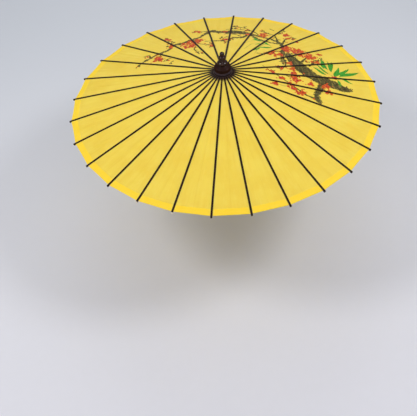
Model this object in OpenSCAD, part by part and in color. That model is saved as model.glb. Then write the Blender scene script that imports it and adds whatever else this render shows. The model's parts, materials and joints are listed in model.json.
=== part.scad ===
// An oil paper umbrella, open and upright: painted paper on split bamboo ribs that fold on a sliding runner.
// Z runs up the pole, and the origin is the centre of the pole's lower end. Lengths are in millimetres.
// Every rib and stretcher lies in a plane of its own through the pole's axis.
// In that plane s runs along the rib from its pivot in the head, and n is square to it, positive above the paper.
// The linkage is isosceles: the runner pivots on the same radius as the head, and a stretcher is as long as
// the stretch of rib above it, so the runner slides straight along the pole as the ribs fold.

/* [Canopy] */
// Radius of the circle through the rib tips
tip_r = 420; // [400:5:440]
// Number of ribs, each with a stretcher of its own
rib_count = 28; // [28]
// Angle of the open ribs from straight down, in degrees
open_angle = 76; // [74:1:78]
// Angle of the folded ribs from straight down, in degrees
closed_angle = 3; // [3:0.5:5]
// Length of rib that stands out past the paper's hem
tip_past_hem = 5; // [4:1:10]
// Thickness of the oiled paper with its paste
paper_t = 0.5; // [0.4:0.1:0.6]

/* [Ribs and stretchers] */
// Radius of the ring that the ribs pivot on, in the head and in the runner
pivot_r = 16; // [16:0.5:17]
// Length of a stretcher from pivot to pivot
stretcher_l = 190; // [180:5:195]
// Depth of a rib's bar under the paper
bar_depth = 4; // [3.6:0.2:4]
// Width of a rib's bar
bar_w = 4; // [3.8:0.1:4.2]
// Width of the cover strip over the paper, at the tips
strip_w = 5; // [4.4:0.2:5]
// Thickness of the cover strip
strip_t = 1.2; // [0.8:0.1:1.4]
// Depth of a stretcher
stretcher_depth = 3.5; // [3:0.1:3.6]
// Width of a stretcher
stretcher_w = 3.4; // [3:0.1:3.4]
// Radius of the pivot wires
wire_r = 0.8; // [0.6:0.05:0.9]

/* [Pole and head] */
// Height of the ribs' pivots above the pole's lower end
head_z = 510; // [500:5:560]
// Radius of the pole
pole_r = 5.5; // [5:0.25:6]
// Radius of the grip at the pole's lower end
grip_r = 8.5; // [8:0.5:11]
// Length of the grip's straight middle
grip_l = 56; // [40:2:60]
// Radius of the head's drum, above the ribs
drum_r = 22; // [21:0.5:24]
// Length of the runner's sleeve below its ring
sleeve_l = 26; // [18:1:30]

/* [Hidden] */
function two_digits(i) = i < 10 ? str("0", i) : str(i);
function numbered(stem) = [for (i = [1:rib_count]) str(stem, two_digits(i))];
$fn = 64;

step_angle = 360 / rib_count;
rise = 90 - open_angle;
rib_l = (tip_r - pivot_r) / sin(open_angle);
runner_z = head_z - 2 * stretcher_l * cos(open_angle);
hem_s = rib_l - tip_past_hem;

// Gaps: sideways in a slot, round a wire, round the pole, and above and below the paper
slot_gap = 0.1;
wire_gap = 0.05;
pole_gap = 0.3;
paper_gap = 0.3;
glue_gap = 0.05;
cut = 0.1;

bar_half = bar_depth / 2;
stretcher_half = stretcher_depth / 2;
paper_n = bar_half + paper_gap;
strip_n = paper_n + paper_t + paper_gap;

// The narrow root of a rib or stretcher turns in a saw cut of the head or runner
root_w = 2;
root_l = 8.5;
neck_w = 2.8;
neck_l = 90;
tongue_w = 1.4;
slit_w = tongue_w + 2 * slot_gap;
slit_spare = 1.5;
tongue_spare = 0.5;
strip_root_w = 4;
strip_full_s = 100;
taper_s = 240;
tip_depth = 1.4;
junction_l = 2.5;

// Slotted rings of the head and the runner
ring_r = 20;
ring_core_r = 13.4;
slot_over = 2.6;
ring_over = 3.2;
slot_under = 6.5;

// How far the pole reaches up into the head past the ribs' pivots
socket_h = 12;

// Length of slit that a stretcher lying at this angle to the rib needs
function slit_run(angle) =
    (bar_half + stretcher_half * cos(angle)) / tan(angle) + stretcher_half * sin(angle) + slit_spare;
slit_inward = slit_run(2 * rise);
slit_outward = slit_run(2 * closed_angle);
tongue_l = (bar_half + stretcher_half + tongue_spare) / sin(2 * closed_angle);

// A closed outline from the points of its upper half, which start at its left end
function both_sides(half) = concat(half, [for (k = [len(half) - 1:-1:0]) [half[k].x, -half[k].y]]);

// Points along an arc, from one angle to another
function arc(centre, r, from, to, steps = 12) =
    [for (k = [0:steps]) let (a = from + (to - from) * k / steps) centre + r * [cos(a), sin(a)]];

// Radius and height of the point s along a rib and n above it
function rib_point(s, n) =
    [pivot_r + s * sin(open_angle) + n * cos(open_angle), head_z - s * cos(open_angle) + n * sin(open_angle)];

module on_rib(i) {
    rotate([0, 0, (i - 1) * step_angle])
        translate([pivot_r, 0, head_z])
            rotate([0, rise, 0])
                children();
}

module on_stretcher(i) {
    rotate([0, 0, (i - 1) * step_angle])
        translate([pivot_r, 0, runner_z])
            rotate([0, -rise, 0])
                children();
}

// A round bar across the plane of a rib, centred on it
module crossbar(r, l) {
    rotate([90, 0, 0])
        cylinder(r = r, h = l, center = true);
}

// A ring of saw cuts from the core outwards, between two heights
module saw_cuts(low, high) {
    for (i = [1:rib_count])
        rotate([0, 0, (i - 1) * step_angle])
            translate([ring_core_r, -root_w / 2 - slot_gap, low])
                cube([drum_r, root_w + 2 * slot_gap, high - low]);
}

// The wire ring that the roots turn on, straight across each saw cut
module wire_ring() {
    for (i = [1:rib_count])
        rotate([0, 0, (i - 1) * step_angle])
            translate([pivot_r, 0, 0])
                crossbar(wire_r, 2 * pivot_r * tan(step_angle / 2) + cut);
}

// Turned pole with its grip in one piece, and a groove at each end of the grip
module pole() {
    butt_r = 3.5;
    groove = 0.8;
    bead_r = 2.5;
    grip_low = 8;
    grip_top = grip_low + grip_l;
    taper_top = grip_top + 16;
    outline = concat(
        [[0, 0]],
        arc([grip_r - butt_r, butt_r], butt_r, -90, 40),
        [[grip_r - groove, grip_low - 1], [grip_r, grip_low], [grip_r, grip_top], [grip_r - groove, grip_top + 1]],
        arc([grip_r - 1.6, grip_top + 3.8], bead_r, -60, 70),
        [[pole_r, taper_top], [pole_r, head_z + socket_h], [0, head_z + socket_h]]
    );
    color("#3a2218") rotate_extrude() polygon(outline);
}

// Slotted hub and stepped finial, turned from one block
module head() {
    edge_r = 1;
    shoulder_r = 4.5;
    shoulder_z = 17;
    outline = concat(
        [[0, -slot_under], [ring_r, -slot_under], [ring_r, ring_over]],
        arc([drum_r - edge_r, ring_over + edge_r], edge_r, -90, 0),
        arc([drum_r - shoulder_r, shoulder_z], shoulder_r, 0, 70),
        arc([8.4, 29.8], 5.6, -50, 65),
        arc([11, 39.6], 2.5, 215, 150),
        arc([4.4, 46], 5.1, -50, 75),
        arc([6.4, 52.8], 1.4, 210, 150),
        arc([0, 56.3], 6.2, -25, 90)
    );
    color("#1c1210")
        translate([0, 0, head_z]) {
            difference() {
                rotate_extrude() polygon(outline);
                saw_cuts(-slot_under - cut, slot_over);
                translate([0, 0, -slot_under - cut])
                    cylinder(r = pole_r + glue_gap, h = socket_h + slot_under + cut + glue_gap);
            }
            wire_ring();
        }
}

// Slotted ring and sleeve that slide on the pole
module runner() {
    bore_r = pole_r + pole_gap;
    sleeve_r = 10.5;
    foot_r = 12;
    foot_h = 4;
    ring_low = -ring_over - 3;
    cone_h = 8;
    sleeve_end = ring_low - cone_h - sleeve_l;
    outline = concat(
        [[bore_r, sleeve_end]],
        arc([foot_r - foot_h / 2, sleeve_end + foot_h / 2], foot_h / 2, -90, 60),
        [[sleeve_r, sleeve_end + foot_h + 1], [sleeve_r, ring_low - cone_h], [ring_r - 2, ring_low]],
        [[ring_r, ring_low + 1], [ring_r, slot_under], [bore_r, slot_under]]
    );
    color("#3a2218")
        translate([0, 0, runner_z]) {
            difference() {
                rotate_extrude() polygon(outline);
                saw_cuts(-slot_over, slot_under + cut);
            }
            wire_ring();
        }
}

// Paper shell between the bars and the cover strips, one flat gore between each two ribs
module canopy() {
    first_s = root_l + junction_l + 0.5;
    corners = [
        rib_point(first_s, paper_n),
        rib_point(hem_s, paper_n),
        rib_point(hem_s, paper_n + paper_t),
        rib_point(first_s, paper_n + paper_t)
    ];
    points = [
        for (i = [0:rib_count - 1], c = corners)
            [c[0] * cos(i * step_angle), c[0] * sin(i * step_angle), c[1]]
    ];
    faces = [
        for (i = [0:rib_count - 1], k = [0:3])
            let (here = 4 * i, there = 4 * ((i + 1) % rib_count), next = (k + 1) % 4)
                [here + k, there + k, there + next, here + next]
    ];
    color("#e9cf55") polyhedron(points, faces, convexity = 4);
}

// Split bamboo rib: a bar under the paper and a cover strip over it, joined at both ends
module rib(i) {
    bar_plan = both_sides([
        [0, root_w / 2], [root_l, root_w / 2], [root_l, neck_w / 2], [neck_l, bar_w / 2], [rib_l, bar_w / 2]
    ]);
    bar_side = [
        [0, -bar_half], [taper_s, -bar_half], [rib_l, bar_half - tip_depth], [rib_l, bar_half], [0, bar_half]
    ];
    strip_plan = both_sides([
        [root_l, strip_root_w / 2], [strip_full_s, strip_w / 2], [rib_l - 1, strip_w / 2], [rib_l, strip_w / 2 - 0.8]
    ]);
    color("#2a1b14")
        on_rib(i) {
            difference() {
                union() {
                    intersection() {
                        linear_extrude(bar_depth + 2 * cut, center = true) polygon(bar_plan);
                        rotate([90, 0, 0]) linear_extrude(2 * bar_w, center = true) polygon(bar_side);
                    }
                    crossbar(bar_half, root_w);
                }
                crossbar(wire_r + wire_gap, root_w + 2 * cut);
                translate([stretcher_l - slit_inward, -slit_w / 2, -bar_half - cut])
                    cube([slit_inward + slit_outward, slit_w, bar_depth + 2 * cut]);
            }
            translate([stretcher_l, 0, 0]) crossbar(wire_r, bar_w - 1);
            translate([0, 0, strip_n]) linear_extrude(strip_t) polygon(strip_plan);
            translate([root_l, -neck_w / 2, bar_half - cut]) cube([junction_l, neck_w, strip_n - bar_half + 2 * cut]);
            translate([hem_s + 0.5, -bar_w / 2, bar_half - cut])
                cube([tip_past_hem - 0.5, bar_w, strip_n - bar_half + 2 * cut]);
        }
}

// Stretcher from the runner's ring to the slit in its rib
module stretcher(i) {
    plan = both_sides([
        [0, root_w / 2], [root_l, root_w / 2], [root_l, neck_w / 2], [neck_l, stretcher_w / 2],
        [stretcher_l - tongue_l, stretcher_w / 2], [stretcher_l - tongue_l, tongue_w / 2], [stretcher_l, tongue_w / 2]
    ]);
    color("#4a3020")
        on_stretcher(i)
            difference() {
                union() {
                    linear_extrude(stretcher_depth, center = true) polygon(plan);
                    crossbar(stretcher_half, root_w);
                    translate([stretcher_l, 0, 0]) crossbar(stretcher_half, tongue_w);
                }
                crossbar(wire_r + wire_gap, root_w + 2 * cut);
                translate([stretcher_l, 0, 0]) crossbar(wire_r + wire_gap, tongue_w + 2 * cut);
            }
}

pole();
head();
runner();
canopy();
for (i = [1:rib_count]) {
    rib(i);
    stretcher(i);
}
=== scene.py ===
"""Looks for the oil paper umbrella: paper, painting, lacquer, thread, floor, light and camera.

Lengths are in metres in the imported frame's own axes. In the plane of a rib, s runs along the rib from its
pivot in the head, t is sideways and n is square to both, positive above the paper.
"""

import json
import math
import random

import bpy
import numpy as np
from mathutils import Matrix, Vector

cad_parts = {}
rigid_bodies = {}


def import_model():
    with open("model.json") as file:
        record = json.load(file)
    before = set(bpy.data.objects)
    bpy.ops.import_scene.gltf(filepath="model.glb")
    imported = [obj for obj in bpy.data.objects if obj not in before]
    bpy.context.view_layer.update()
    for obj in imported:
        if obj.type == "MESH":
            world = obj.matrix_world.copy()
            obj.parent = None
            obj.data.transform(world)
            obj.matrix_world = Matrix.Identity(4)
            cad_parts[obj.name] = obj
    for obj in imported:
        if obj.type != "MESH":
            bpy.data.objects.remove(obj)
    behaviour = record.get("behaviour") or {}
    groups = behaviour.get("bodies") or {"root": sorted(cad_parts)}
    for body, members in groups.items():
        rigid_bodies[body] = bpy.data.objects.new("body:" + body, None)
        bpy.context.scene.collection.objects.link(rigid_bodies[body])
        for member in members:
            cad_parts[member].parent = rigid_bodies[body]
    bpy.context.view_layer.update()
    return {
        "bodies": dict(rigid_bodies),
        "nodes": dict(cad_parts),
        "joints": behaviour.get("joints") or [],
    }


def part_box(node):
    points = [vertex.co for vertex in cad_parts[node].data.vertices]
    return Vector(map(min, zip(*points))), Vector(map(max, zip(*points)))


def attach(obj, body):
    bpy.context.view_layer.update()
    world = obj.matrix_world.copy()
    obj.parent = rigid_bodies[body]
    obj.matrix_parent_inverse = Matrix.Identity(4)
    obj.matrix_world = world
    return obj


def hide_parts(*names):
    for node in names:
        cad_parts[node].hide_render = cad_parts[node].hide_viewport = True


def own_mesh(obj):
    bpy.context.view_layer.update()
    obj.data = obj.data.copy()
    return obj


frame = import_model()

MM = 0.001

# ---------------------------------------------------------------- what the frame says

JOINTS = {joint["name"]: joint for joint in frame["joints"]}
RIBS = sum(name.startswith("rib_") for name in frame["bodies"])
STEP = 2 * math.pi / RIBS
HEAD_PIVOT = Vector(JOINTS["fold"]["pos_m"])
RIB_PIVOT = Vector(JOINTS["stretcher_01_hinge"]["pos_m"])
PIVOT_R = HEAD_PIVOT.x
HEAD_Z = HEAD_PIVOT.z
ALONG = (RIB_PIVOT - HEAD_PIVOT).normalized()
ABOVE = Vector((-ALONG.z, 0, ALONG.x))


def corners_of(node):
    """A CAD node's vertices at rest."""
    return np.array([v.co for v in frame["nodes"][node].data.vertices])


def reach(points, direction):
    """Least and greatest distance of the points along a direction, from the first rib's pivot in the head."""
    along = (points - np.array(HEAD_PIVOT)) @ np.array(direction)
    return float(along.min()), float(along.max())


def canopy_section():
    """The CAD canopy's corners in the plane of the first rib."""
    points = corners_of("canopy")
    return points[(abs(points[:, 1]) < 0.01 * MM) & (points[:, 0] > 0)]


RIB_L = reach(corners_of("rib_01"), ALONG)[1]
PAPER_IN, HEM = reach(canopy_section(), ALONG)
PAPER_N = sum(reach(canopy_section(), ABOVE)) / 2
DRUM_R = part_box("head")[1][0]
POLE_TOP = corners_of("pole")[corners_of("pole")[:, 2] > HEAD_Z]
POLE_R = float(np.hypot(*POLE_TOP[:, :2].T).max())
TIP_TOP = max(corners_of("rib_01"), key=lambda corner: corner[0])
RIM_R = float(TIP_TOP[0])
RIM_Z = float(TIP_TOP[2])


def rib_axes(i):
    """Pivot, along, sideways and above of rib i, the first being 0."""
    turn = Matrix.Rotation(i * STEP, 3, "Z")
    return turn @ HEAD_PIVOT, turn @ ALONG, turn @ Vector((0, 1, 0)), turn @ ABOVE


def two_digits(i):
    return f"{i + 1:02d}"


def add_object(name, data):
    """A new object in the scene."""
    added = bpy.data.objects.new(name, data)
    bpy.context.scene.collection.objects.link(added)
    return added


# ---------------------------------------------------------------- shader nodes


def linear(c):
    """A screen value of 0 to 255, in the linear value that shaders take."""
    return c / 255 / 12.92 if c <= 10 else ((c / 255 + 0.055) / 1.055) ** 2.4


def srgb(r, g, b):
    return linear(r), linear(g), linear(b), 1.0


def dimmed(colour, share):
    """A colour at a share of its brightness."""
    return tuple(share * c for c in colour[:3]) + (1.0,)


class Shader:
    """A material with one Principled shader, and short calls that add nodes to it."""

    def __init__(self, name, **sockets):
        self.material = bpy.data.materials.new(name)
        self.material.use_nodes = True
        self.tree = self.material.node_tree
        self.tree.nodes.clear()
        self.bsdf = self.tree.nodes.new("ShaderNodeBsdfPrincipled")
        out = self.tree.nodes.new("ShaderNodeOutputMaterial")
        self.tree.links.new(self.bsdf.outputs[0], out.inputs["Surface"])
        for socket, value in sockets.items():
            self.bsdf.inputs[socket.replace("_", " ")].default_value = value

    def put(self, socket, value):
        """Links an output to an input, or sets the input's own value."""
        if isinstance(value, bpy.types.NodeSocket):
            self.tree.links.new(value, socket)
        else:
            socket.default_value = value

    def set(self, name, value):
        self.put(self.bsdf.inputs[name], value)

    def add(self, kind, **settings):
        node = self.tree.nodes.new("ShaderNode" + kind)
        for key, value in settings.items():
            setattr(node, key, value)
        return node

    def math(self, operation, a, b=0.0):
        node = self.add("Math", operation=operation)
        self.put(node.inputs[0], a)
        self.put(node.inputs[1], b)
        return node.outputs[0]

    def plus(self, a, b):
        return self.math("ADD", a, b)

    def minus(self, a, b):
        return self.math("SUBTRACT", a, b)

    def times(self, a, b):
        return self.math("MULTIPLY", a, b)

    def step(self, x, low, high, smooth=True):
        """0 below low and 1 above high."""
        node = self.add("MapRange", interpolation_type="SMOOTHSTEP" if smooth else "LINEAR")
        self.put(node.inputs["Value"], x)
        self.put(node.inputs["From Min"], low)
        self.put(node.inputs["From Max"], high)
        return node.outputs["Result"]

    def step_down(self, x, low, high):
        """1 below low and 0 above high."""
        return self.minus(1.0, self.step(x, low, high))

    def scaled(self, x, low, high):
        """Spreads 0 to 1 over low to high."""
        return self.plus(self.times(x, high - low), low)

    def swing(self, noise, width):
        """Turns a noise, which keeps near a half, into a shift to either side of 0."""
        return self.times(self.minus(noise, 0.5), width)

    def mix(self, share, a, b):
        node = self.add("Mix", data_type="RGBA", clamp_result=True)
        self.put(node.inputs[0], share)
        self.put(node.inputs[6], a)
        self.put(node.inputs[7], b)
        return node.outputs[2]

    def tint(self, base, cover, weight, ink):
        """Lays an ink over the base where cover is 1, at no more than the weight."""
        return self.mix(self.times(cover, weight), base, ink)

    def noise(self, where, scale, detail=3.0, roughness=0.5, distortion=0.0):
        node = self.add("TexNoise")
        self.put(node.inputs["Vector"], where)
        node.inputs["Scale"].default_value = scale
        node.inputs["Detail"].default_value = detail
        node.inputs["Roughness"].default_value = roughness
        node.inputs["Distortion"].default_value = distortion
        return node.outputs["Fac"]

    def attribute(self, name, output="Fac"):
        return self.add("Attribute", attribute_name=name).outputs[output]

    def vector(self, x, y, z):
        node = self.add("CombineXYZ")
        for socket, value in zip(node.inputs, (x, y, z)):
            self.put(socket, value)
        return node.outputs[0]

    def split(self, vector):
        node = self.add("SeparateXYZ")
        self.put(node.inputs[0], vector)
        return node.outputs

    def rest_place(self):
        """Where the point is in the frame at rest. Good for pieces whose object sits at the origin."""
        return self.add("TexCoord").outputs["Object"]

    def bump(self, height, distance, strength):
        node = self.add("Bump")
        node.inputs["Strength"].default_value = strength
        node.inputs["Distance"].default_value = distance
        self.put(node.inputs["Height"], height)
        self.set("Normal", node.outputs[0])


def spoke_place(sh):
    """Along, sideways and above in the nearest rib's plane, and that rib's number, counted from -14 to 14."""
    x, y, z = sh.split(sh.rest_place())
    turn = sh.math("ARCTAN2", y, x)
    number = sh.math("ROUND", sh.math("DIVIDE", turn, STEP))
    aside = sh.minus(turn, sh.times(number, STEP))
    radius = sh.math("SQRT", sh.plus(sh.times(x, x), sh.times(y, y)))
    out = sh.minus(sh.times(radius, sh.math("COSINE", aside)), PIVOT_R)
    rise = sh.minus(z, HEAD_Z)
    s = sh.plus(sh.times(out, ALONG.x), sh.times(rise, ALONG.z))
    t = sh.times(radius, sh.math("SINE", aside))
    n = sh.plus(sh.times(out, ABOVE.x), sh.times(rise, ABOVE.z))
    return s, t, n, number


# ---------------------------------------------------------------- bamboo, wood and thread

# Scales of each pattern along its grain, against 1 across it
BAMBOO_GRAIN = 0.04
WOOD_GRAIN = 0.05
PORE_GRAIN = 0.12
TURNING_GRAIN = 0.03
# Shifts one rib's grain against the next one's
RIB_SHIFT = 0.37
# Where the bamboo's joint ring can lie along a rib
RING_FROM = 238 * MM
RING_TO = 247 * MM
# A rib's tip is worn where the fraction of 0.07 times its number plus 0.6 is over 0.85
WORN_STEP = 0.07
WORN_START = 0.6
WORN_OVER = 0.85
WORN_L = 2.4 * MM
# Over this height above the ribs' pivots the head's lacquer has kept its gloss
GLOSSY_Z = HEAD_Z + 25 * MM


def bamboo(name, dark, light, worn_tips):
    """Split bamboo under dark lacquer: fibres along the length, a joint ring and, if wanted, worn tips."""
    sh = Shader(name, Coat_Weight=0.03, Coat_Roughness=0.25, Specular_IOR_Level=0.12)
    s, t, n, number = spoke_place(sh)
    shift = sh.times(number, RIB_SHIFT)
    fibre_place = sh.vector(sh.plus(sh.times(s, BAMBOO_GRAIN), shift), t, n)
    fibre = sh.noise(fibre_place, 2600, 4, 0.6)
    streak = sh.noise(fibre_place, 500, 3, 0.55, 0.4)
    cloud = sh.noise(sh.vector(sh.plus(s, shift), t, n), 55, 3, 0.6)
    colour = sh.mix(sh.step(streak, 0.35, 0.75), dark, light)
    colour = sh.tint(colour, sh.step(fibre, 0.5, 0.72), 0.45, dimmed(dark, 0.45))
    colour = sh.tint(colour, sh.step(cloud, 0.52, 0.75), 0.4, light)
    ring_at = sh.scaled(sh.math("FRACT", sh.times(number, 0.618)), RING_FROM, RING_TO)
    ring = sh.step_down(sh.math("ABSOLUTE", sh.minus(s, ring_at)), 0.4 * MM, 1.8 * MM)
    colour = sh.tint(colour, ring, 0.5, dimmed(dark, 0.4))
    if worn_tips:
        fraction = sh.math("FRACT", sh.plus(sh.times(number, WORN_STEP), WORN_START))
        worn = sh.step(fraction, WORN_OVER, WORN_OVER + 0.01)
        end = sh.step(s, RIB_L - WORN_L, RIB_L - WORN_L + 0.6 * MM)
        colour = sh.mix(sh.times(end, worn), colour, srgb(226, 214, 196))
    sh.set("Base Color", colour)
    sh.set("Roughness", sh.scaled(streak, 0.38, 0.62))
    sh.bump(sh.plus(sh.times(fibre, 0.35), sh.plus(sh.times(streak, 0.5), ring)), 0.18 * MM, 0.8)
    return sh.material


def lacquer():
    """Brown-black lacquer over turned wood, with fine turning lines. It is dull on the drum, glossy above."""
    sh = Shader("head_lacquer", Roughness=0.5, Specular_IOR_Level=0.0, Coat_IOR=1.62)
    place = sh.rest_place()
    x, y, z = sh.split(place)
    line_place = sh.vector(sh.times(x, TURNING_GRAIN), sh.times(y, TURNING_GRAIN), z)
    lines = sh.noise(line_place, 1900, 3, 0.6)
    cloud = sh.noise(place, 90, 4, 0.6)
    speck = sh.noise(place, 900, 2, 0.5)
    colour = sh.mix(sh.step(cloud, 0.4, 0.72), srgb(36, 16, 12), srgb(50, 25, 20))
    colour = sh.tint(colour, sh.step(lines, 0.55, 0.7), 0.35, srgb(66, 38, 30))
    colour = sh.tint(colour, sh.step(speck, 0.68, 0.74), 0.3, srgb(96, 72, 62))
    sh.set("Base Color", colour)
    glossy = sh.step(z, GLOSSY_Z, GLOSSY_Z + 3 * MM)
    sh.set("Coat Roughness", sh.scaled(glossy, 0.42, 0.06))
    sh.set("Coat Weight", sh.scaled(glossy, 0.15, 0.5))
    sh.bump(sh.plus(lines, sh.times(speck, 0.3)), 0.12 * MM, 0.5)
    return sh.material


def stained_wood():
    """Stained turned wood with straight grain up the pole."""
    sh = Shader("pole_wood", Coat_Weight=0.3, Coat_Roughness=0.2, IOR=1.48)
    x, y, z = sh.split(sh.rest_place())
    grain_place = sh.vector(x, y, sh.times(z, WOOD_GRAIN))
    grain = sh.noise(grain_place, 700, 5, 0.6, 0.5)
    band = sh.noise(grain_place, 160, 3, 0.5, 1.2)
    pores = sh.noise(sh.vector(x, y, sh.times(z, PORE_GRAIN)), 3200, 2, 0.5)
    colour = sh.mix(sh.step(band, 0.3, 0.7), srgb(58, 33, 23), srgb(98, 58, 38))
    colour = sh.tint(colour, sh.step(grain, 0.5, 0.75), 0.6, srgb(36, 20, 15))
    colour = sh.tint(colour, sh.step(pores, 0.64, 0.72), 0.6, srgb(22, 13, 10))
    sh.set("Base Color", colour)
    sh.set("Roughness", sh.scaled(grain, 0.32, 0.55))
    sh.bump(sh.minus(grain, sh.step(pores, 0.62, 0.72)), 0.15 * MM, 0.7)
    return sh.material


def cotton(name, colour, deep):
    """Twisted cotton thread."""
    sh = Shader(name, Roughness=0.85)
    twist = sh.noise(sh.rest_place(), 2400, 2, 0.5, 1.0)
    sh.set("Base Color", sh.mix(sh.step(twist, 0.4, 0.65), deep, colour))
    sh.bump(twist, 0.1 * MM, 0.8)
    return sh.material


# ---------------------------------------------------------------- the paper's material

HEM_BAND = 19 * MM
# Each kind of painted shape from the bottom layer up: its two inks, the scale of the patches that they make,
# how ragged its outline is and how soft. A shape's stored value is a half at its outline.
INKS = {
    "grass": (srgb(150, 146, 70), srgb(122, 128, 62), 200, 0.2, 0.1),
    "twig": (srgb(92, 82, 38), srgb(66, 58, 30), 260, 0.3, 0.06),
    "bough": (srgb(92, 84, 46), srgb(62, 55, 32), 170, 1.0, 0.05),
    "leaf": (srgb(66, 156, 46), srgb(52, 136, 42), 110, 0.75, 0.06),
    "vein": (srgb(112, 178, 78), srgb(90, 162, 68), 260, 0.2, 0.12),
    "petal": (srgb(208, 98, 36), srgb(194, 66, 32), 150, 0.16, 0.07),
    "eye": (srgb(206, 30, 84), srgb(146, 24, 44), 320, 0.16, 0.08),
    "stamen": (srgb(66, 34, 30), srgb(90, 40, 34), 320, 0.1, 0.1),
}
# How much of the painting shows through on the lower side
SHOW_THROUGH = 0.3


def bare_paper(sh, place, stroke_place, fibre, stroke):
    """The yellow of the paper: cloudy, brushed on from the head outwards, with paler fibres."""
    cloud = sh.noise(place, 16, 4, 0.6)
    fine_stroke = sh.noise(stroke_place, 230, 3, 0.6)
    colour = sh.mix(sh.step(cloud, 0.3, 0.72), srgb(236, 208, 85), srgb(232, 200, 75))
    colour = sh.tint(colour, sh.step(stroke, 0.45, 0.8), 0.45, srgb(226, 188, 60))
    colour = sh.tint(colour, sh.step(fine_stroke, 0.5, 0.8), 0.3, srgb(240, 217, 108))
    return sh.tint(colour, sh.step(fibre, 0.55, 0.8), 0.35, srgb(242, 222, 126))


def painted(sh, colour, place, shows):
    """Lays the painted shapes over the paper, and dry bark over the boughs."""
    for kind, (ink, other_ink, patch_scale, fray, soft) in INKS.items():
        ragged = sh.swing(sh.noise(place, 330, 3, 0.6), fray)
        cover = sh.step(sh.plus(sh.attribute(kind), ragged), 0.5 - soft, 0.5 + soft)
        shade = sh.mix(sh.step(sh.noise(place, patch_scale, 3, 0.6), 0.42, 0.6), ink, other_ink)
        colour = sh.tint(colour, cover, shows, shade)
        if kind == "bough":
            dry = sh.step(sh.noise(sh.attribute("grain_place", "Vector"), 150, 4, 0.7, 0.6), 0.52, 0.6)
            bark = sh.times(dry, sh.step(sh.attribute("bough"), 0.45, 0.65))
            colour = sh.tint(colour, sh.times(bark, shows), 0.75, srgb(150, 134, 66))
    return colour


def oiled_paper():
    """Yellow oiled paper with its fold, hem, pasted strips and painting, and dark lacquer with a painted
    grey-mauve sheen near the head.
    """
    sh = Shader("oiled_paper", Specular_IOR_Level=0.08, Subsurface_Weight=0.3, Subsurface_Scale=MM)
    sh.bsdf.inputs["Subsurface Radius"].default_value = (0.9, 0.7, 0.2)
    place = sh.attribute("rest_place", "Vector")
    stroke_place = sh.attribute("stroke_place", "Vector")
    s, from_fold, is_top = sh.split(sh.attribute("gore_place", "Vector"))
    fibre = sh.noise(place, 420, 5, 0.65, 1.5)
    pulp = sh.noise(place, 1500, 2, 0.5)
    stroke = sh.noise(stroke_place, 60, 4, 0.6, 0.3)
    colour = bare_paper(sh, place, stroke_place, fibre, stroke)
    # A faint painted shade along each gore's fold line, darker where the crease would hold shade.
    colour = sh.tint(colour, sh.step_down(from_fold, 0.2 * MM, 1.4 * MM), 0.1, srgb(214, 176, 58))
    hem_edge = sh.plus(sh.swing(fibre, 9 * MM), HEM - HEM_BAND)
    colour = sh.tint(colour, sh.step(sh.minus(s, hem_edge), 0.0, 2.5 * MM), 0.8, srgb(253, 213, 52))
    colour = sh.tint(colour, sh.attribute("paste"), 0.4, srgb(250, 232, 120))
    colour = painted(sh, colour, place, sh.scaled(is_top, SHOW_THROUGH, 1.0))
    # Near the head the paper is dark lacquer, a little glossier, painted a lighter grey-mauve that stands in
    # for its sheen (painted reflection).
    collar_edge = sh.plus(s, sh.swing(stroke, 8 * MM))
    lacquer_and_painted_sheen = sh.step_down(collar_edge, COLLAR_S + 5 * MM, COLLAR_S + 17 * MM)
    sh.set("Base Color", sh.mix(lacquer_and_painted_sheen, colour, srgb(76, 60, 57)))
    sh.set("Roughness", sh.minus(sh.scaled(stroke, 0.4, 0.6), sh.times(lacquer_and_painted_sheen, 0.15)))
    relief = sh.plus(sh.times(stroke, 1.3), sh.plus(fibre, sh.times(pulp, 0.25)))
    sh.bump(relief, 0.16 * MM, 0.75)
    return sh.material


# ---------------------------------------------------------------- the painting

# Shapes are laid out on the open canopy seen from above: (radius in mm, degrees from the first rib).
# A bough, twig or blade of grass adds its half width in mm at each point.
BOUGHS = [
    [
        (345, -8, 1.5), (334, -8, 7), (318, -7.5, 12), (300, -5.6, 15.5), (281, -4.4, 16.5),
        (262, -2.4, 16.5), (243, 1.5, 18), (229, 7.5, 19), (223, 14, 18), (221, 21, 16), (225, 27, 10),
        (234, 31, 3),
    ],
    [
        (183, 17, 3), (193, 24, 6), (216, 31, 6), (248, 39, 5.5), (262, 43, 5.5), (266, 49, 3.6),
        (267, 55, 3.2), (271, 61, 6), (277, 68, 10), (281, 73, 12), (281, 79, 10), (288, 85, 7.5),
        (297, 88, 6.5), (286, 91, 6), (269, 95, 4.8), (256, 100, 5), (252, 105, 5.6), (254, 112, 5.4),
        (257, 116, 4.6), (246, 121, 4), (248, 125, 4), (254, 129, 3.8), (260, 134, 3.2), (266, 139, 2.8),
        (274, 144, 1.5),
    ],
    [(260, 43, 4), (252, 45, 3.6), (243, 50, 3.2), (245, 56, 3.2), (256, 61, 4), (273, 66, 5)],
    [
        (270, 66, 4.2), (249, 67, 4), (239, 70, 3.6), (235, 74, 3.4), (224, 77, 3.2), (215, 82, 2.8),
        (216, 90, 2.4), (223, 95, 1.6),
    ],
    [(262, -5, 8), (256, -11, 7.5), (249, -15, 7), (248, -19, 7), (253, -22, 7), (260, -24, 4)],
]
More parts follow.
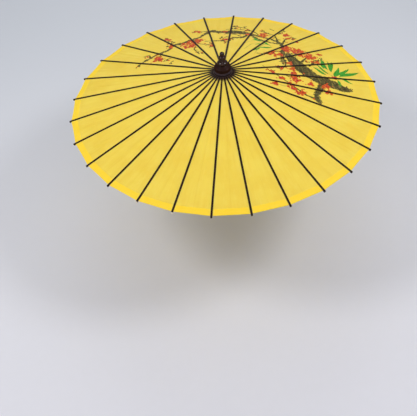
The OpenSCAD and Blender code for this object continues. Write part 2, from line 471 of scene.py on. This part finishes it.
TWIGS = [
    [
        (246, -21, 2.8), (222, -20.5, 2.2), (206, -18.5, 2), (180, -13, 1.8), (154, -5, 1.5),
        (132, 5, 1.4), (118, 22, 1.3),
    ],
    [(268, 46, 3.1), (286, 49, 2.2), (299, 52, 1.8), (306, 58, 1.5), (318, 59, 1.3)],
    [(280, 60, 2.4), (298, 65, 1.8), (306, 73, 1.5), (303, 80, 1.3)],
    [(290, 88, 2.4), (305, 94, 1.8), (316, 99, 1.3)],
    [(262, 98, 2.2), (238, 101, 1.8), (212, 100, 1.5), (196, 95, 1.4), (182, 90, 1.3)],
    [(252, 117, 2.1), (272, 116, 1.7), (290, 113, 1.5), (306, 116, 1.3)],
    [(250, 124, 2), (238, 131, 1.7), (224, 136, 1.4), (214, 132, 1.3)],
    [(232, 77, 1.8), (212, 76, 1.5), (196, 80, 1.3)],
    [(250, 70, 1.8), (262, 74, 1.5), (268, 80, 1.3)],
    [(226, 34, 2.8), (206, 37, 2.2), (188, 35, 1.8), (168, 39, 1.4), (156, 45, 1.3)],
    [(268, 42, 2.8), (292, 44, 2.2), (309, 44, 1.8), (325, 43.5, 1.5), (327, 41, 1.3)],
    [(242, 18, 3.4), (266, 21, 2.5), (288, 22, 2)],
    [(252, 12, 2.8), (276, 15, 2.1), (296, 17, 1.7)],
    [(200, 22, 2.5), (182, 14, 2), (166, 10, 1.5), (148, 13, 1.3)],
    [(228, 0, 2.8), (208, 1, 2.1), (190, -3, 1.7), (170, -1, 1.3)],
    [(260, 134, 1.7), (276, 132, 1.4), (288, 134, 1.3)],
    [(331, 76, 1.5), (323, 72, 1.4), (312, 68, 1.3), (300, 66, 1.2)],
    [(202, 104, 1.8), (183, 108, 1.6), (157, 108, 1.5), (144, 109, 1.3)],
]
GRASS = [
    [(244, 57, 0.7), (214, 62, 0.6), (178, 66, 0.5)],
    [(240, 53, 0.7), (204, 58, 0.6), (160, 60, 0.5)],
    [(232, 49, 0.7), (198, 50, 0.6), (150, 46, 0.5)],
    [(296, 12, 0.8), (282, 20, 0.6), (262, 26, 0.5)],
    [(300, 10, 0.8), (312, 20, 0.6), (318, 28, 0.5)],
    [(302, 2, 0.8), (282, 8, 0.6), (258, 12, 0.5)],
    [(180, -14, 0.7), (160, -17, 0.6), (136, -15, 0.5)],
]
# (radius, degrees, spread in mm, number of flowers)
CLUSTERS = [
    (249, 35, 16, 17), (266, 30, 17, 16), (281, 22, 15, 14), (258, 24, 8, 4), (282, 15, 8, 4),
    (191, 35, 17, 11), (206, 31, 9, 4), (284, 57, 14, 9), (326, 47, 9, 6), (307, 38, 4, 2),
    (308, 44, 4, 2), (228, 107, 24, 26), (236, 99, 14, 10), (232, 134, 15, 12), (311, 114, 9, 4),
    (311, 96, 7, 3), (182, 91, 6, 3), (222, 80, 6, 3), (194, -4, 13, 8), (195, 3, 9, 5), (175, -13, 11, 6),
    (188, -17, 6, 3), (207, -20, 11, 7), (138, -16, 6, 3), (166, 12, 7, 3), (134, 6, 6, 3), (195, 9, 7, 4),
    (232, -8, 8, 4), (272, -8, 10, 6), (281, -13, 9, 5), (156, -5, 6, 3), (200, 17, 7, 4), (305, 1, 6, 3),
    (270, 66, 6, 3), (254, 118, 7, 4), (284, 80, 5, 2), (318, 22, 5, 2),
]
# Bunches of dark stalks: (radius, degrees, spread in mm, number of stalks, number of red buds)
SPRIGS = [
    (347, 50, 5, 3, 0), (339, 56, 4, 2, 0), (311, 60, 5, 3, 1), (256, 17, 8, 5, 1), (272, 16, 8, 6, 1),
    (288, 17, 7, 5, 0), (304, 18, 6, 3, 0), (191, 20, 5, 4, 0), (164, 13, 5, 4, 0), (135, 6, 5, 4, 0),
    (155, -5, 5, 4, 0), (140, -17, 6, 4, 0), (177, -13, 7, 4, 1), (185, -17, 6, 4, 1), (207, -19, 7, 5, 1),
    (146, 105, 6, 4, 2), (200, 92, 7, 4, 2), (175, 93, 7, 4, 1), (237, 83, 8, 5, 0), (215, 82, 8, 5, 1),
    (204, 80, 5, 3, 2), (243, 79, 4, 3, 0), (225, 75, 5, 3, 0), (316, 97, 8, 4, 1), (303, 95, 7, 3, 2),
    (308, 113, 8, 4, 2), (325, 113, 5, 3, 0), (278, 113, 7, 4, 0), (268, 118, 6, 4, 0),
    (269, 133, 6, 3, 1), (263, 137, 5, 4, 0), (228, 133, 10, 6, 0), (200, 133, 9, 6, 1),
    (178, 136, 6, 3, 0), (270, 144, 7, 5, 1), (328, 76, 8, 5, 1), (313, 74, 6, 4, 1), (325, 70, 7, 4, 0),
    (300, 68, 6, 4, 1), (327, 50, 9, 5, 1), (316, 42, 8, 5, 1), (230, 30, 16, 6, 0), (250, 28, 16, 6, 0),
    (246, 100, 16, 7, 0), (240, 110, 14, 6, 0),
]
# (radius and degrees of the stem, radius and degrees of the tip, width in mm)
LEAVES = [
    (290, 9, 305, 18, 14), (299, 8, 296, 15, 9), (305, 6, 328, 15, 13), (307, 7, 317, 16, 8),
    (286, 3, 260, 11, 11), (293, 4, 274, 14, 8), (307, 1, 336, 10, 14), (310, 2, 354, 8, 10),
    (320, 2, 388, 6, 16), (325, 3, 366, 9, 10), (310, -1, 318, -6, 9), (320, 1, 352, -3, 9),
    (241, 54, 238, 61, 10), (234, 53, 228, 45, 9), (222, 43, 188, 51, 10), (192, 49, 160, 51, 8),
    (238, 56, 252, 62, 8), (226, 50, 206, 56, 8),
]
# Radii of the open flowers and of the buds beside them, in mm
FLOWER_R = (4.2, 6.4)
BUD_R = (1.6, 2.6)
PETALS = 5
# What share of the flowers has an eye, and of the larger ones a stamen
EYE_SHARE = 0.5
STAMEN_SHARE = 0.4
# How far in mm each kind's stored value takes to fall from 1 to 0 over the outline
FEATHER = {"grass": 3, "twig": 5, "bough": 10, "leaf": 6, "vein": 3, "petal": 5, "eye": 4, "stamen": 3}


def heading_of(a):
    return np.array((math.cos(a), math.sin(a)))


def on_plan(radius, degrees):
    return radius * heading_of(math.radians(degrees))


def any_way(rng):
    return heading_of(rng.uniform(0, 2 * math.pi))


def smooth_path(points, wobble, seed, parts=6):
    """A slightly uneven curve through (radius, degrees, half width) points, as x, y and half width in mm."""
    rng = random.Random(seed)
    knots = [np.array((*on_plan(r, a), w)) for r, a, w in points]
    knots = [2 * knots[0] - knots[1], *knots, 2 * knots[-1] - knots[-2]]
    path = []
    for a, b, c, d in zip(knots, knots[1:], knots[2:], knots[3:]):
        for k in range(parts):
            u = k / parts
            square = 2 * a - 5 * b + 4 * c - d
            cube = 3 * b - a - 3 * c + d
            p = 0.5 * (2 * b + (c - a) * u + square * u**2 + cube * u**3)
            jitter = min(wobble, 0.35 * p[2])
            path.append(p + np.array([rng.uniform(-jitter, jitter) for _ in range(3)]))
    path.append(knots[-2])
    return path


class Painting:
    """Collects painted shapes, and says how far inside each kind of shape a point of the plan is, in mm."""

    def __init__(self):
        self.shapes = {kind: [] for kind in FEATHER}

    def stroke(self, kind, path):
        self.shapes[kind] += [("capsule", a, b) for a, b in zip(path, path[1:])]

    def spoke(self, kind, centre, away, shares, half_width):
        """A straight stroke between two shares of the way from a centre."""
        self.stroke(kind, [np.array((*(centre + share * away), half_width)) for share in shares])

    def flower(self, rng, centre, radius, lobe_depth):
        self.shapes["petal"].append(("flower", centre, radius, rng.uniform(0, 6), lobe_depth))
        if rng.random() < EYE_SHARE:
            off_centre = centre + radius * 0.3 * heading_of(rng.uniform(0, 6))
            self.shapes["eye"].append(("disc", off_centre, radius * rng.uniform(0.25, 0.5)))
        if radius > FLOWER_R[0] and rng.random() < STAMEN_SHARE:
            self.spoke("stamen", centre, heading_of(rng.uniform(0, 6)) * radius, (0.1, 0.75), 0.55)

    def leaf(self, stem, tip, width):
        self.shapes["leaf"].append(("lens", stem, tip, width))
        self.spoke("vein", stem, tip - stem, (0.1, 0.8), 0.5)

    def sprig(self, rng, middle, spread, stalks, buds):
        """Short dark stalks that end in dark buds, and some red buds between them."""
        for _ in range(stalks):
            root = middle + rng.uniform(0, 0.8) * spread * any_way(rng)
            tip = root + rng.uniform(3, 8) * any_way(rng)
            self.stroke("twig", [np.array((*root, 1.5)), np.array((*tip, 1.1))])
            self.shapes["twig"].append(("disc", tip, rng.uniform(1.4, 2.4)))
        for _ in range(buds):
            centre = middle + rng.uniform(0, 0.9) * spread * any_way(rng)
            self.shapes["petal"].append(("disc", centre, rng.uniform(2.4, 3.4)))

    def depth(self, kind, plan):
        best = np.full(len(plan), -9.0)
        for shape in self.shapes[kind]:
            centre, far = bounding_circle(shape)
            near = np.flatnonzero(np.hypot(*(plan - centre).T) < far + 4)
            if len(near):
                best[near] = np.maximum(best[near], shape_depth(shape, plan[near]))
        return best


def bounding_circle(shape):
    if shape[0] == "capsule":
        a, b = shape[1], shape[2]
        return (a[:2] + b[:2]) / 2, np.hypot(*(b - a)[:2]) / 2 + max(a[2], b[2])
    if shape[0] == "lens":
        return (shape[1] + shape[2]) / 2, np.hypot(*(shape[2] - shape[1])) / 2
    return shape[1], shape[2]


def capsule_depth(a, b, plan):
    along = (b - a)[:2]
    u = np.clip((plan - a[:2]) @ along / max(along @ along, 1e-9), 0, 1)
    return a[2] + (b[2] - a[2]) * u - np.hypot(*(plan - a[:2] - u[:, None] * along).T)


def disc_depth(centre, radius, plan):
    return radius - np.hypot(*(plan - centre).T)


def flower_depth(centre, radius, turn, lobe_depth, plan):
    d = plan - centre
    lobes = abs(np.cos((np.arctan2(d[:, 1], d[:, 0]) - turn) * PETALS / 2))
    return radius * (1 - lobe_depth + lobe_depth * lobes**0.6) - np.hypot(*d.T)


def lens_depth(stem, tip, width, plan):
    """A leaf's blade, widest a little before the middle and bent into a slight s."""
    length = np.hypot(*(tip - stem))
    forward = (tip - stem) / length
    d = plan - stem
    u = d @ forward / length
    v = d @ np.array((-forward[1], forward[0]))
    half = 0.43 * width * np.sin(math.pi * np.clip(u, 0, 1) ** 0.8)
    bend = 0.12 * width * np.sin(2 * math.pi * u)
    return np.where((u > 0) & (u < 1), half - abs(v - bend), -np.maximum(-u, u - 1) * length)


DEPTHS = {"capsule": capsule_depth, "disc": disc_depth, "flower": flower_depth, "lens": lens_depth}


def shape_depth(shape, plan):
    return DEPTHS[shape[0]](*shape[1:], plan)


def paint_boughs(art, rng):
    for k, bough in enumerate(BOUGHS):
        path = smooth_path(bough, 1.6, k)
        art.stroke("bough", path)
        for p in path[3:-3:2]:
            splinter = p[:2] + (2.5 + 1.2 * p[2]) * any_way(rng)
            art.stroke("bough", [np.array((*p[:2], 0.5 * p[2])), np.array((*splinter, 0.8))])


def paint_twigs(art, rng):
    for k, twig in enumerate(TWIGS):
        path = smooth_path(twig, 1.2, 100 + k)
        art.stroke("twig", path)
        for p in path[3::4]:
            tip = p[:2] + rng.uniform(5, 12) * any_way(rng)
            art.stroke("twig", [p, np.array((*tip, 0.8))])
            if rng.random() < 0.7:
                art.flower(rng, tip, rng.uniform(2.0, 3.2), 0.15)


def paint_clusters(art, rng):
    """Flowers on a spiral round each cluster's middle, with a bud outside every second one."""
    for radius, degrees, spread, count in CLUSTERS:
        middle = on_plan(radius, degrees)
        for k in range(count):
            a = 2.4 * k + rng.uniform(0, 0.9)
            centre = middle + spread * math.sqrt((k + 0.5) / count) * heading_of(a)
            art.flower(rng, centre, rng.uniform(*FLOWER_R), rng.uniform(0.32, 0.48))
            if k % 2:
                art.flower(rng, centre + rng.uniform(7, 11) * heading_of(a), rng.uniform(*BUD_R), 0.1)


def paint():
    """The branch in blossom, the same in every run."""
    rng = random.Random(28)
    art = Painting()
    paint_boughs(art, rng)
    for k, blade in enumerate(GRASS):
        art.stroke("grass", smooth_path(blade, 0.3, 200 + k))
    paint_twigs(art, rng)
    paint_clusters(art, rng)
    for radius, degrees, spread, stalks, buds in SPRIGS:
        art.sprig(rng, on_plan(radius, degrees), spread, stalks, buds)
    for stem_r, stem_degrees, tip_r, tip_degrees, width in LEAVES:
        art.leaf(on_plan(stem_r, stem_degrees), on_plan(tip_r, tip_degrees), width)
    return art


# ---------------------------------------------------------------- the paper

HALF_PAPER = 0.2 * MM
HALF_HEM = 0.34 * MM
HALF_PASTE = 0.5 * MM
# Half widths of the flat strip that is pasted to the rib, and of that strip with its edge
PASTE_HALF_W = 1.8 * MM
PASTE_EDGE = 2.2 * MM
# How deep the hem's middle hangs below the flat gore, and how far its edge is cut back there
SAG = 1.2 * MM
SCALLOP = 0.6 * MM
RIPPLE = 0.1 * MM
# Rows of points along a rib, and columns from the strip's edge to the gore's middle
FINE = 1.3 * MM
COARSE = 6 * MM
FINE_COLUMNS = 31
COARSE_COLUMNS = 11
# Where the painting lies: along a rib, and round the canopy
PAINTED = (105 * MM, 395 * MM)
PAINTED_DEGREES = (-36, 152)
# Where the paper begins along a rib, just outside the head's drum
COLLAR_S = (DRUM_R + 0.4 * MM - PIVOT_R) / ALONG.x


def gore_relief(gore, along, share):
    """Height of the paper over the flat gore: a shallow hollow with a faint fold, and a few ripples."""
    rng = random.Random(500 + gore)
    hollow = 0.85 * np.sin(math.pi * share) + 0.15 * (1 - abs(2 * share - 1))
    height = -SAG * rng.uniform(0.7, 1.2) * along**0.8 * hollow
    for _ in range(5):
        across, lengthwise, phase = rng.uniform(1.5, 6), rng.uniform(-3, 3), rng.uniform(0, 6)
        wave = np.sin(2 * math.pi * (across * share + lengthwise * along) + phase)
        height = height + RIPPLE * along * wave * np.sin(math.pi * share) ** 2
    return height


def row_places(is_painted):
    """Where the paper's rows lie along a rib: close together over the painting and at the hem's step."""
    rows = [COLLAR_S, PAPER_IN]
    band = HEM - HEM_BAND
    while rows[-1] < band - COARSE:
        is_fine = is_painted and PAINTED[0] < rows[-1] < PAINTED[1]
        rows.append(rows[-1] + (FINE if is_fine else COARSE))
    hem_rows = (-2 * MM, 0, 0.35 * MM, 5 * MM, 10 * MM, 15 * MM)
    return np.array([*rows[:-1], *(band + step for step in hem_rows), HEM - 1 * MM, HEM])


def sheet_faces(rows, columns, side):
    """Faces of a two-sided sheet on a grid of points, the upper side's points first, with a rim all round."""
    grid = np.arange(rows * columns).reshape(rows, columns)
    corners = [grid[:-1, :-1], grid[1:, :-1], grid[1:, 1:], grid[:-1, 1:]]
    upper = np.stack(corners, axis=-1).reshape(-1, 4)
    edge = np.concatenate([grid[0, :], grid[1:, -1], grid[-1, -2::-1], grid[-2:0:-1, 0]])
    after = np.roll(edge, -1)
    rim = np.stack([edge, after, after + grid.size, edge + grid.size], axis=-1)
    if side < 0:
        upper, rim = upper[:, ::-1], rim[:, ::-1]
    return [*upper.tolist(), *(upper[:, ::-1] + grid.size).tolist(), *rim.tolist()]


def gore_widths(i, side, rows, columns):
    """The gore's width at each row, and each point's distance from the rib's middle."""
    pivot, along, _, _ = (np.array(v) for v in rib_axes(i))
    next_pivot, next_along, _, _ = (np.array(v) for v in rib_axes(i + side))
    chord = np.linalg.norm(next_pivot - pivot + rows * (next_along - along), axis=1)[:, None]
    flat_part = np.array([[0, PASTE_HALF_W]]) * np.ones_like(rows)
    spread = np.linspace(0, 1, columns)[None, :]
    return chord, np.concatenate([flat_part, PASTE_EDGE + (chord / 2 - PASTE_EDGE) * spread], axis=1)


def paper_points(i, side, rows, chord, t):
    """The upper side's points, the lower side's, and how far along the rib they lie."""
    pivot, along, _, above = (np.array(v) for v in rib_axes(i))
    next_pivot, next_along, _, next_above = (np.array(v) for v in rib_axes(i + side))
    share = t / chord
    along_share = (rows - COLLAR_S) / (HEM - COLLAR_S) * np.ones_like(t)
    s = rows - SCALLOP * np.sin(math.pi * share) * along_share**3
    here = pivot + s[..., None] * along + PAPER_N * above
    there = next_pivot + s[..., None] * next_along + PAPER_N * next_above
    near, far = (1 - share)[..., None], share[..., None]
    up = near * above + far * next_above
    gore = i if side > 0 else (i - 1) % RIBS
    relief = gore_relief(gore, along_share, share if side > 0 else 1 - share)
    relief = relief * np.clip((t - PASTE_EDGE) / (6 * MM), 0, 1)
    middle = near * here + far * there + relief[..., None] * up
    in_hem = rows > HEM - HEM_BAND + 0.1 * MM
    half = np.where(in_hem, HALF_HEM, HALF_PAPER) * np.ones_like(t)
    half[:, :2] = HALF_PASTE
    upper = (middle + half[..., None] * up).reshape(-1, 3)
    lower = (middle - half[..., None] * up).reshape(-1, 3)
    return upper, lower, s


def store(mesh, name, values):
    """Puts one number or one vector on each vertex, under a name that materials read."""
    kind, key = ("FLOAT_VECTOR", "vector") if values.ndim == 2 else ("FLOAT", "value")
    mesh.attributes.new(name, kind, "POINT").data.foreach_set(key, values.astype(np.float32).ravel())


def twice(values):
    """The same values for the upper side's points and the lower side's."""
    return np.concatenate([values, values])


def store_places(mesh, points, s, chord, t):
    """What the paper's grain, brush strokes, fold, hem and pasted strips go by."""
    radius = np.hypot(points[:, 0], points[:, 1])[:, None]
    store(mesh, "rest_place", points)
    store(mesh, "stroke_place", np.hstack([RIM_R * points[:, :2] / radius, 0.12 * radius]))
    is_top = np.repeat((1.0, 0.0), t.size)
    from_fold = (chord / 2 - t).ravel()
    store(mesh, "gore_place", np.stack([twice(s.ravel()), twice(from_fold), is_top], axis=1))
    store(mesh, "paste", twice(np.clip(1 - (t - PASTE_EDGE) / (1.5 * MM), 0, 1).ravel()))


def store_painting(mesh, upper, art):
    """How far inside each kind of painted shape the points lie, and the bark's place along the trunk."""
    plan = upper[:, :2] / MM
    tilted = plan @ np.array([[1, 0.6], [-0.15, 0.25]]) * MM
    store(mesh, "grain_place", twice(np.hstack([tilted, np.zeros((len(plan), 1))])))
    for kind, feather in FEATHER.items():
        store(mesh, kind, twice(np.clip(0.5 + art.depth(kind, plan) / feather, 0, 1)))


def half_gore(i, side, art):
    """The paper from the middle of rib i to the middle of the gore on one side of it, with two faces."""
    degrees = (math.degrees((i + side / 2) * STEP) + 180) % 360 - 180
    is_painted = PAINTED_DEGREES[0] < degrees < PAINTED_DEGREES[1]
    rows = row_places(is_painted)[:, None]
    chord, t = gore_widths(i, side, rows, FINE_COLUMNS if is_painted else COARSE_COLUMNS)
    upper, lower, s = paper_points(i, side, rows, chord, t)
    points = np.concatenate([upper, lower])
    mesh = bpy.data.meshes.new(f"paper_{two_digits(i)}_{'left' if side > 0 else 'right'}")
    mesh.from_pydata(points.tolist(), [], sheet_faces(*t.shape, side))
    mesh.shade_smooth()
    mesh.set_sharp_from_angle(angle=math.radians(50))
    store_places(mesh, points, s, chord, t)
    if is_painted:
        store_painting(mesh, upper, art)
    piece = add_object(mesh.name, mesh)
    hold_paper(piece, i)
    return piece


def hold_paper(piece, i):
    """Lets the paper ride on its rib."""
    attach(piece, f"rib_{two_digits(i)}")
    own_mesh(piece)


def canopy():
    art = paint()
    paper = oiled_paper()
    for i in range(RIBS):
        for side in (1, -1):
            piece = half_gore(i, side, art)
            piece.data.materials.append(paper)
            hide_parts("canopy")


# ---------------------------------------------------------------- cord and catch

CORD_R = 0.5 * MM
CORD_TURNS = 6
CORD_STEPS = 72
CORD_Z = HEAD_Z + 4 * MM
CATCH_L = 26 * MM
CATCH_OUT = 2.6 * MM
CATCH_HALF_W = 1.1 * MM
CATCH_ROOT_R = POLE_R - 1 * MM


def tube(name, path, radius, sides=8):
    """A round tube along a path that doesn't run straight up."""
    path = np.array(path)
    ahead = np.gradient(path, axis=0)
    ahead /= np.linalg.norm(ahead, axis=1)[:, None]
    aside = np.cross(ahead, (0, 0, 1))
    aside /= np.linalg.norm(aside, axis=1)[:, None]
    up = np.cross(aside, ahead)
    turns = [2 * math.pi * k / sides for k in range(sides)]
    rings = [path + radius * (math.cos(a) * aside + math.sin(a) * up) for a in turns]
    points = np.stack(rings, axis=1).reshape(-1, 3)
    faces = []
    for row in range(0, (len(path) - 1) * sides, sides):
        for k in range(sides):
            after = (k + 1) % sides
            faces.append((row + k, row + after, row + sides + after, row + sides + k))
    faces += [tuple(range(sides))[::-1], tuple(range((len(path) - 1) * sides, len(path) * sides))]
    mesh = bpy.data.meshes.new(name)
    mesh.from_pydata(points.tolist(), [], faces)
    mesh.shade_smooth()
    return add_object(name, mesh)


def head_cord():
    """Thread wound round the foot of the head's drum, over the ribs' roots."""
    r = DRUM_R + 0.6 * CORD_R
    path = []
    for k in range(CORD_TURNS * CORD_STEPS + 1):
        a = 2 * math.pi * k / CORD_STEPS
        path.append((r * math.cos(a), r * math.sin(a), CORD_Z + 2 * CORD_R * k / CORD_STEPS))
    cord = tube("head_cord", path, CORD_R)
    cord.data.materials.append(cotton("binding_thread", srgb(78, 58, 64), srgb(40, 28, 32)))
    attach(cord, "shaft")


def spring_catch(material):
    """The bamboo spring that holds the runner up, made in its open shape. On the real umbrella the runner
    presses it into the pole as it slides past.
    """
    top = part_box("runner")[0][2] - 0.3 * MM
    outline = [
        (CATCH_ROOT_R, top - CATCH_L), (POLE_R + 0.4 * MM, top - CATCH_L + 1 * MM),
        (POLE_R + CATCH_OUT - 0.2 * MM, top - 2 * MM), (POLE_R + CATCH_OUT, top),
        (POLE_R + 1.4 * MM, top), (CATCH_ROOT_R, top - 4 * MM),
    ]
    count = len(outline)
    points = [(x, y, z) for y in (-CATCH_HALF_W, CATCH_HALF_W) for x, z in outline]
    faces = [tuple(range(count)), tuple(range(count, 2 * count))[::-1]]
    faces += [(k, k + count, (k + 1) % count + count, (k + 1) % count) for k in range(count)]
    mesh = bpy.data.meshes.new("spring_catch")
    mesh.from_pydata(points, [], faces)
    turn = Matrix.Rotation(STEP / 2, 4, "Z")
    mesh.transform(turn)
    mesh.materials.append(material)
    catch = add_object("spring_catch", mesh)
    soften(catch, 0.3 * MM)
    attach(catch, "shaft")
    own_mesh(catch)


# ---------------------------------------------------------------- the CAD pieces' looks

EDGE = 0.25 * MM
SHARP = math.radians(32)


def soften(node, width):
    """Breaks a piece's hard edges with a small bevel, over its own unchanged mesh."""
    node.data.shade_smooth()
    weld = node.modifiers.new("weld", "WELD")
    weld.merge_threshold = 0.001 * MM
    bevel = node.modifiers.new("edges", "BEVEL")
    bevel.width = width
    bevel.segments = 2
    bevel.limit_method = "ANGLE"
    bevel.angle_limit = SHARP
    bevel.harden_normals = True


def dress_frame():
    """Gives every CAD piece but the canopy its material and soft edges, and adds the catch."""
    ribs = bamboo("rib_bamboo", srgb(24, 12, 7), srgb(50, 28, 17), True)
    struts = bamboo("stretcher_bamboo", srgb(74, 47, 31), srgb(118, 82, 54), False)
    spring_catch(struts)
    wood = stained_wood()
    looks = {"head": lacquer(), "pole": wood, "runner": wood, "rib": ribs, "stretcher": struts}
    for name, node in frame["nodes"].items():
        if name == "canopy":
            continue
        node.data.materials.clear()
        node.data.materials.append(looks[name.split("_")[0]])
        soften(node, EDGE)


# ---------------------------------------------------------------- floor, light and camera

# The camera's direction from the rim's middle in degrees, its place in rim radii, and its lens in mm
CAMERA_AZIMUTH = -4.4
CAMERA_TILT = 47.8
CAMERA_ROLL = 4.7
CAMERA_AWAY = 4.368
CAMERA_RIGHT = -0.1575
CAMERA_UP = -0.679
LENS = 58.4
FLOOR_HALF = 9.0
# Name, place, width, watts and colour of each round softbox. They all face the same point.
SOFTBOXES = [
    ("left_softbox", (-1.35, -0.35, 2.1), 0.7, 16, (1.0, 0.99, 0.96)),
    ("right_softbox", (1.27, -0.55, 2.1), 0.7, 17, (0.98, 0.99, 1.0)),
    ("front_softbox", (-0.3, -2.6, 2.4), 2.4, 13, (1.0, 0.99, 0.97)),
    ("back_softbox", (0.2, 2.3, 2.4), 2.4, 19.5, (1.0, 0.99, 0.97)),
]
LIT_POINT = Vector((0, 0, 0.5))
SKY_COLOUR = (0.9, 0.93, 1.0, 1)
SKY_STRENGTH = 0.4


def camera():
    """Looks down at the open umbrella, which sits in the upper half of the picture."""
    azimuth, tilt = math.radians(CAMERA_AZIMUTH), math.radians(CAMERA_TILT)
    flat = math.cos(tilt)
    back = Vector((math.sin(azimuth) * flat, -math.cos(azimuth) * flat, math.sin(tilt)))
    right = Vector((math.cos(azimuth), math.sin(azimuth), 0))
    up = back.cross(right)
    data = bpy.data.cameras.new("camera")
    data.lens = LENS
    data.sensor_width = 36
    eye = add_object("camera", data)
    eye.rotation_mode = "QUATERNION"
    level = Matrix((right, up, back)).transposed().to_4x4()
    rolled = level @ Matrix.Rotation(math.radians(-CAMERA_ROLL), 4, "Z")
    eye.rotation_quaternion = rolled.to_quaternion()
    away = CAMERA_AWAY * back + CAMERA_RIGHT * right + CAMERA_UP * up
    eye.location = Vector((0, 0, RIM_Z)) + RIM_R * away
    bpy.context.scene.camera = eye


def floor():
    """A plain pale floor under the pole's end, clear from below, with painted shade that makes it a little
    darker and cooler at the back.
    """
    corners = [(x * FLOOR_HALF, y * FLOOR_HALF, 0) for x, y in ((-1, -1), (1, -1), (1, 1), (-1, 1))]
    mesh = bpy.data.meshes.new("floor")
    mesh.from_pydata(corners, [], [(0, 1, 2, 3)])
    ground = add_object("floor", mesh)
    sh = Shader("floor_card", Roughness=0.85)
    place = sh.rest_place()
    # Painted shade: the floor's colour grows darker and cooler towards the back, where less light falls.
    back = sh.step(sh.split(place)[1], -0.7, 1.2, smooth=False)
    colour = sh.mix(back, srgb(229, 228, 236), srgb(214, 218, 225))
    sh.set("Base Color", sh.tint(colour, sh.noise(place, 40, 3, 0.5), 0.15, srgb(214, 213, 214)))
    sh.set("Alpha", sh.minus(1.0, sh.add("NewGeometry").outputs["Backfacing"]))
    mesh.materials.append(sh.material)


def softbox(name, place, width, watts, colour):
    data = bpy.data.lights.new(name, "AREA")
    data.shape = "DISK"
    data.size = width
    data.energy = watts
    data.color = colour
    light = add_object(name, data)
    light.location = place
    light.rotation_mode = "QUATERNION"
    light.rotation_quaternion = (LIT_POINT - Vector(place)).to_track_quat("-Z", "Y")


def lights():
    world = bpy.data.worlds.new("studio")
    world.use_nodes = True
    background = world.node_tree.nodes["Background"]
    background.inputs["Color"].default_value = SKY_COLOUR
    background.inputs["Strength"].default_value = SKY_STRENGTH
    bpy.context.scene.world = world
    for box in SOFTBOXES:
        softbox(*box)
    bpy.context.scene.view_settings.view_transform = "Standard"


camera()
floor()
lights()
dress_frame()
head_cord()
canopy()
